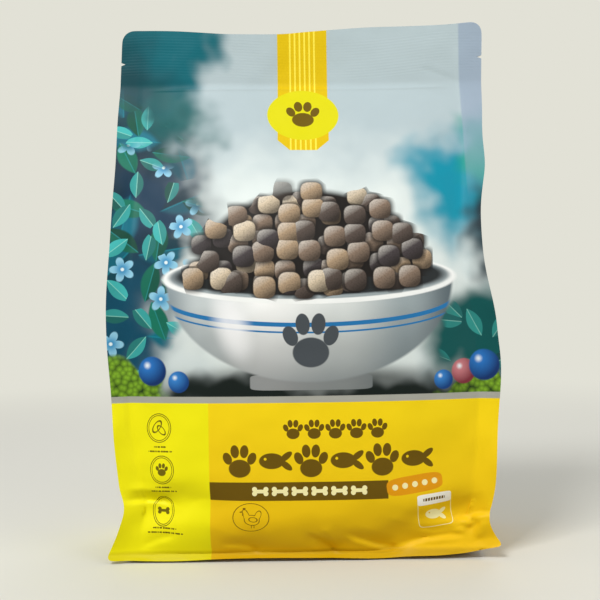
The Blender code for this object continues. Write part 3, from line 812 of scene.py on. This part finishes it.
def fish(place, scale):
    """A body and a tail. At scale 1 it is 13 mm long."""
    local = add("ShaderNodeVectorMath", {0: place, "Scale": 1 / scale}, operation="SCALE")
    body = inside(oval(local, (-1.2, 0), (4.9, 3.1)), 0.05)
    tail = either(*[inside(oval(local, (4.4, 1.7 * way), (2.9, 1.25), 38 * way), 0.06) for way in (1, -1)])
    eye = inside(oval(local, (-3.7, 0.8), (0.55, 0.55)), 0.1)
    return add("ShaderNodeMath", {0: either(body, tail), 1: eye}, operation="SUBTRACT")


SMALL_PITCH, BIG_PITCH = 10.7, 36.2
small_paws = paw(in_row(-5.6, SMALL_PITCH, 69.2), (0, -0.4), 0.75)
small_row = both(small_paws, stretch(-10.9, 42.6, 62.5, 76.5))
paws = paw(in_row(-32.9, BIG_PITCH, 53.0), (0, -0.4), 1.27)
fishes = fish(in_row(-15.1, BIG_PITCH, 53.3), 1.3)
big_row = both(either(paws, fishes), stretch(-41.6, 66.6, 42.4, 63.6))
film_colour = paint(film_colour, BROWN, either(small_row, big_row))

# %% The bar and the tilted tag
film_colour = paint(film_colour, BROWN, stretch(LEMON_EDGE, 42.4, 33.2, 42.6))
bar_marks = both(bone(in_row(-22.6, 10.0, 38.0), 0.8), stretch(-27.6, 32.4, 34.4, 41.6))
film_colour = paint(film_colour, PALE, bar_marks)
TAG, TAG_TURN, DOT_PITCH = (56.3, 40.0), 7.2, 5.24
film_colour = paint(film_colour, colour("#e79c0c"), inside(block(place, TAG, (14.8, 4.6), TAG_TURN, 2), 0.06))
turn = math.radians(TAG_TURN)
dots = []
for along in (-2 * DOT_PITCH, -DOT_PITCH, 0, DOT_PITCH, 2 * DOT_PITCH):
    middle = (TAG[0] + along * math.cos(turn), TAG[1] + along * math.sin(turn))
    dots.append(inside(oval(place, middle, (1.5, 1.5)), 0.1))
film_colour = paint(film_colour, PALE, either(*dots))

# %% The weight box: its line, its header with short marks, and a fish
BOX_TURN = 5.4
MARK_PITCH = 1.5
weight_box = block(place, (67.4, 25.4), (9.4, 9.2), BOX_TURN)
film_colour = paint(film_colour, PALE, both(inside(weight_box, 0.06), beyond(weight_box, 0.74, 0.04)))
header = inside(block(place, (66.8, 31.9), (9.3, 2.9), BOX_TURN), 0.06)
film_colour = paint(film_colour, colour("#fdfbee"), header)
between_marks = add("ShaderNodeMath", {0: across, 1: MARK_PITCH / 2}, operation="PINGPONG")
header_line = inside(block(place, (66.6, 31.9), (6.0, 0.8), BOX_TURN), 0.1)
film_colour = paint(film_colour, BROWN, both(header_line, beyond(between_marks, 0.2, 0.06)))
moved = add("ShaderNodeVectorMath", {0: place, 1: (-67.6, -23.2, 0)}, operation="ADD")
film_colour = paint(film_colour, PALE, fish(moved, 0.86))

# %% Rings with small marks
def ring(centre, radii, half_line):
    """A fine line round an oval."""
    return outline(oval(place, centre, radii), half_line)


LINE = colour("#6f6206")
RING_GAP = 0.9
TOP_RING, MIDDLE_RING, LOW_RING = (-74.9, 69.9), (-73.6, 48.4), (-74.2, 25.4)
double_rings = []
for centre, wide, tall in ((TOP_RING, 6.4, 7.3), (MIDDLE_RING, 6.4, 7.2), (LOW_RING, 5.8, 7.9)):
    double_rings += [ring(centre, (wide - gap, tall - gap), 0.03) for gap in (0, RING_GAP)]
film_colour = paint(film_colour, LINE, either(*double_rings))
two_leaves = either(outline(oval(place, (-75.9, 70.6), (1.7, 3.4), -35), 0.14),
                    outline(oval(place, (-73.6, 68.8), (1.4, 2.8), 40), 0.15))
moved = add("ShaderNodeVectorMath", {0: place, 1: (-LOW_RING[0], -LOW_RING[1], 0)}, operation="ADD")
ring_marks = either(two_leaves, paw(place, MIDDLE_RING, 0.5), bone(moved, 0.62))
film_colour = paint(film_colour, LINE, ring_marks)


# %% The hen, drawn round the edge of its joined parts
def from_edge(centre, radii, turn=0):
    """Roughly how many millimetres a place lies outside an oval."""
    size = sum(radii) / 2
    out = oval(place, centre, radii, turn)
    return add("ShaderNodeMath", {0: out, 1: size, 2: -size}, operation="MULTIPLY_ADD")


HEN = (-27.6, 24.8)
HEN_SIZE = 0.76
# Middle, radii and turn of the head, the neck and the tail, which join the body
HEN_PARTS = (((-4.3, 3.8), (1.5, 1.4), 0), ((-3.1, 1.0), (1.9, 3.2), 14), ((4.7, 1.2), (1.9, 3.4), -24))
# Middle, half sizes in millimetres and turn of the beak, the comb, the wattle and the two legs
SMALL_PARTS = (((-6.4, 3.6), (0.8, 0.3), 8), ((-4.4, 5.8), (0.7, 0.45), 0), ((-5.4, 1.8), (0.3, 0.55), 0),
               ((0.2, -6.6), (0.18, 0.8), 0), ((2.0, -6.5), (0.18, 0.8), 0))


def on_hen(x, z):
    """A place on the hen, given from its middle in the hen's own units."""
    return HEN[0] + HEN_SIZE * x, HEN[1] + HEN_SIZE * z


hen = from_edge(on_hen(0.6, -2.0), (5.0 * HEN_SIZE, 3.5 * HEN_SIZE), -6)
for centre, radii, turn in HEN_PARTS:
    part = from_edge(on_hen(*centre), (radii[0] * HEN_SIZE, radii[1] * HEN_SIZE), turn)
    hen = add("ShaderNodeMath", {0: hen, 1: part, 2: 1.0}, operation="SMOOTH_MIN")
hen_line = add("ShaderNodeMath", {0: hen, 1: 0.0, 2: 0.2}, operation="COMPARE")
wing = outline(oval(place, on_hen(1.4, -1.6), (2.1, 1.2), -6), 0.14)
small_parts = [inside(block(place, on_hen(*middle), sizes, turn), 0.12)
               for middle, sizes, turn in SMALL_PARTS]
hen_ring = ring((-27.6, 24.6), (9.2, 7.3), 0.024)
film_colour = paint(film_colour, colour("#7d5a06"), either(hen_ring, hen_line, wing, *small_parts))

# %% Fine lines under the rings
gaps = add("ShaderNodeTexNoise", {"W": across, "Scale": 1.3, "Detail": 0.0}, noise_dimensions="1D").node
broken = beyond(gaps.outputs["Fac"], 0.42, 0.02)
# The middle of each line and half its length
FINE_LINES = (((-74.6, 60.2), 3.2), ((-74.4, 57.9), 6.4), ((-73.2, 39.3), 4.2), ((-73.0, 37.1), 6.8),
              ((-73.0, 16.6), 6.4), ((-72.4, 14.3), 9.6))
fine_lines = [inside(block(place, centre, (half, 0.42)), 0.1) for centre, half in FINE_LINES]
film_colour = paint(film_colour, LINE, both(either(*fine_lines), broken))

# %% [markdown]
# ### Matt finish and sealed ribs
# Laminated film is a plastic with a refractive index of about 1.5. Its outer ply is a matt one,
# which spreads and weakens its shine. The jaws of the sealing machine press fine ribs across the
# top seal, 1.6 mm apart, which a bump shows well enough.

# %% The film's surface
RIB_PITCH = 1.6
SEAL_FOOT, SEAL_TOP = 267.0, 289.5
seal_zone = both(beyond(up, SEAL_FOOT, 1.0), inside(up, 1.0, SEAL_TOP))
ribs = add("ShaderNodeMath", {0: up, 1: 2 * math.pi / RIB_PITCH}, operation="MULTIPLY")
ribs = both(add("ShaderNodeMath", {0: ribs}, operation="SINE"), seal_zone)
# Slack film is never quite flat, so a faint noise goes with the ribs.
slack = add("ShaderNodeTexNoise", {"Vector": flat, "Scale": 45.0, "Detail": 1.0}, noise_dimensions="2D").node
height = add("ShaderNodeMath", {0: ribs, 1: 0.012, 2: slack.outputs["Fac"]}, operation="MULTIPLY_ADD")
relief = add("ShaderNodeBump", {"Height": height, "Strength": 1.0, "Distance": 1.2 * MM})
shader = add("ShaderNodeBsdfPrincipled", {
    "Base Color": film_colour, "Roughness": 0.48, "IOR": 1.5, "Specular IOR Level": 0.16,
    "Metallic": 0.0, "Normal": relief})
add("ShaderNodeOutputMaterial", {"Surface": shader})
film.data.materials.clear()
film.data.materials.append(print_film)
print("nodes in the print:", len(tree.nodes))

# %% [markdown]
# ## Setting the piece in its place
# The skin stands for the imported solid and moves with its body.

# %% Shade it smooth and hand it to the frame
pick_only(film)
bpy.ops.object.shade_smooth_by_angle(angle=math.radians(60))
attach(film, "root")
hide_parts("pet_food_bag")

# %% [markdown]
# ## Stage, light and camera
# A pale floor fades into a pale world, so no horizon shows. One large lamp from the upper left
# models the folds, a weaker one from the right opens the shadows, and a third lights the back.

# %% Floor
def seen_rays():
    """1 for rays that show a thing: straight to the camera, in a shine or through something clear."""
    rays = add("ShaderNodeLightPath").node
    seen = add("ShaderNodeMath", {0: rays.outputs["Is Camera Ray"], 1: rays.outputs["Is Glossy Ray"]},
               operation="MAXIMUM")
    return add("ShaderNodeMath", {0: seen, 1: rays.outputs["Is Transmission Ray"]}, operation="MAXIMUM")


bpy.ops.object.select_all(action="DESELECT")
bpy.ops.mesh.primitive_circle_add(vertices=96, radius=6.0, fill_type="NGON", location=(0, 0, 0))
floor = bpy.context.view_layer.objects.active
floor.name = "floor"
PAPER = colour("#e2e1d6")
FADE_FROM, FADE_TO = 0.35, 1.1
paper = bpy.data.materials.new("matt_paper")
tree = empty_tree(paper)
spot = add("ShaderNodeTexCoord").node.outputs["Object"]
away = add("ShaderNodeVectorMath", {0: spot}, operation="LENGTH").node.outputs["Value"]
far = add("ShaderNodeMapRange", {
    "Value": away, "From Min": FADE_FROM, "From Max": FADE_TO, "To Min": 0.0, "To Max": 1.0},
    interpolation_type="SMOOTHSTEP")
matt = add("ShaderNodeBsdfDiffuse", {"Color": paint(colour("#a8a49a"), colour("#dad9d0"), seen_rays())})
glow = add("ShaderNodeEmission", {"Color": PAPER, "Strength": 1.0})
sheet = add("ShaderNodeMixShader", {0: far, 1: matt, 2: glow})
add("ShaderNodeOutputMaterial", {"Surface": sheet})
floor.data.materials.append(paper)

# %% World
world = bpy.data.worlds.new("pale_room")
bpy.context.scene.world = world
tree = empty_tree(world)
shown = add("ShaderNodeBackground", {"Color": PAPER, "Strength": 1.0})
lighting = add("ShaderNodeBackground", {"Color": colour("#ffffff"), "Strength": 0.42})
room = add("ShaderNodeMixShader", {0: seen_rays(), 1: lighting, 2: shown})
add("ShaderNodeOutputWorld", {"Surface": room})


# %% Lamps
def softbox(name, spot, size, power, aim=(0, 0, 0.14)):
    """A square soft lamp turned to the pouch."""
    bpy.ops.object.light_add(type="AREA", location=spot)
    lamp = bpy.context.view_layer.objects.active
    lamp.name = name
    lamp.data.size = size
    lamp.data.energy = power
    lamp.rotation_euler = (Vector(aim) - Vector(spot)).to_track_quat("-Z", "Y").to_euler()


softbox("key_softbox", (-0.55, -0.85, 1.15), 0.45, 14.4)
softbox("fill_softbox", (1.0, -0.8, 0.7), 0.7, 3.5)
softbox("back_softbox", (0.2, 1.1, 1.1), 0.9, 6.0)

# %% Camera at the photograph's place
CAMERA_DISTANCE, CAMERA_HEIGHT, CAMERA_ROLL = 0.52, 0.134, 0.8
# In pixels of the photograph: its width, the focal length and how far the middle lies to the right
PHOTO_WIDTH, FOCAL_LENGTH, SHIFT = 600, 936, 2.3
bpy.ops.object.camera_add(location=(0.0, -CAMERA_DISTANCE, CAMERA_HEIGHT),
                          rotation=(math.radians(90), math.radians(CAMERA_ROLL), 0))
camera = bpy.context.view_layer.objects.active
camera.data.sensor_width = 36
camera.data.lens = camera.data.sensor_width * FOCAL_LENGTH / PHOTO_WIDTH
camera.data.shift_x = -SHIFT / PHOTO_WIDTH
bpy.context.scene.camera = camera
bpy.context.scene.view_settings.view_transform = "Standard"

# %% Import the json module
import json
